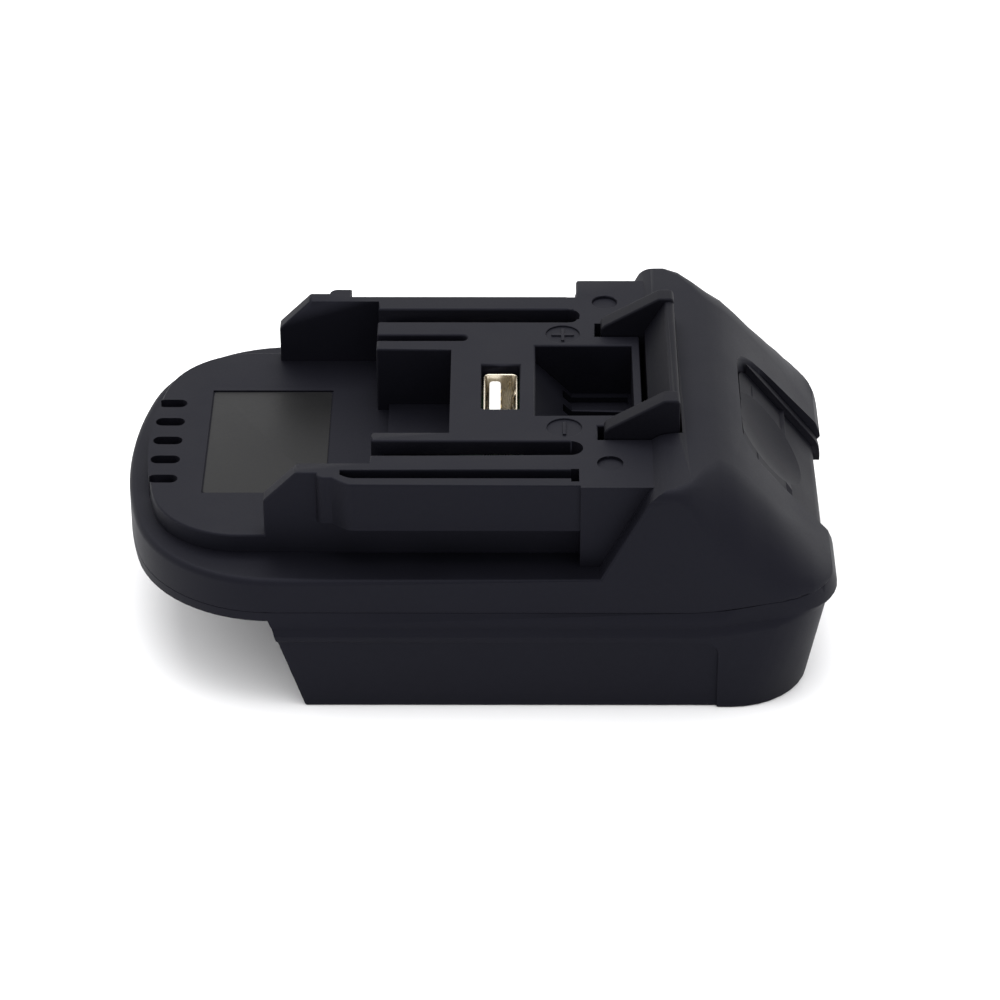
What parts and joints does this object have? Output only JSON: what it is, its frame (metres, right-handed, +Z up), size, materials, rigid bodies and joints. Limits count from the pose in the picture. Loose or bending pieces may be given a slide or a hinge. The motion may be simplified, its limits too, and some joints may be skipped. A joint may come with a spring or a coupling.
{
  "type": "tool battery adapter",
  "caption": "Slide-on adapter: tool rails, contact slots, a port and a sprung release latch on top, a battery bay with terminals below, converter inside",
  "frame": {"origin": "centre of the base, on the plane that the skirts stand on", "axes": "+X from the round vented end to the button end, +Z up from the battery bay to the tool rails"},
  "size_m": [0.116, 0.0746, 0.0462],
  "materials": {
    "shell_plastic": "fine-grained moulded plastic",
    "latch_plastic": "fine-grained moulded plastic",
    "spring_wire": "drawn spring wire",
    "port_steel": "plated sheet steel",
    "port_white": "smooth moulded plastic",
    "contact_gold": "thin gold plating",
    "board_laminate": "coated circuit board",
    "ferrite": "pressed ferrite",
    "copper": "enamelled copper wire",
    "capacitor_can": "drawn aluminium can",
    "chip_black": "moulded package",
    "clip_brass": "stamped sheet",
    "terminal_plastic": "moulded plastic",
    "blade_metal": "tin plated",
    "lead_red": "wire insulation",
    "lead_black": "wire insulation",
    "screw_steel": "blackened steel"
  },
  "bodies": {
    "housing": {"top_shell": "shell_plastic", "bottom_shell": "shell_plastic", "latch_spring_near": "spring_wire", "latch_spring_far": "spring_wire", "usb_shell": "port_steel", "usb_tongue": "port_white", "usb_contacts": "contact_gold", "converter_board": "board_laminate", "converter_coil": "ferrite", "coil_winding": "copper", "capacitors": "capacitor_can", "converter_chip": "chip_black", "diode": "chip_black", "board_resistors": "chip_black", "output_clip_positive": "clip_brass", "output_clip_negative": "clip_brass", "terminal_block": "terminal_plastic", "battery_blade_positive": "blade_metal", "battery_blade_negative": "blade_metal", "lead_positive": "lead_red", "lead_negative": "lead_black", "housing_screws": "screw_steel", "board_screws": "screw_steel"},
    "latch": {"release_latch": "latch_plastic"}
  },
  "joints": [
    {"name": "latch_press", "type": "slide", "parent": "housing", "child": "latch", "axis": [0, 0, -1], "range_m": [0, 0.007], "stiffness_N_per_m": 2300, "springref_m": -0.003, "deforming": ["latch_spring_near", "latch_spring_far"]}
  ]
}
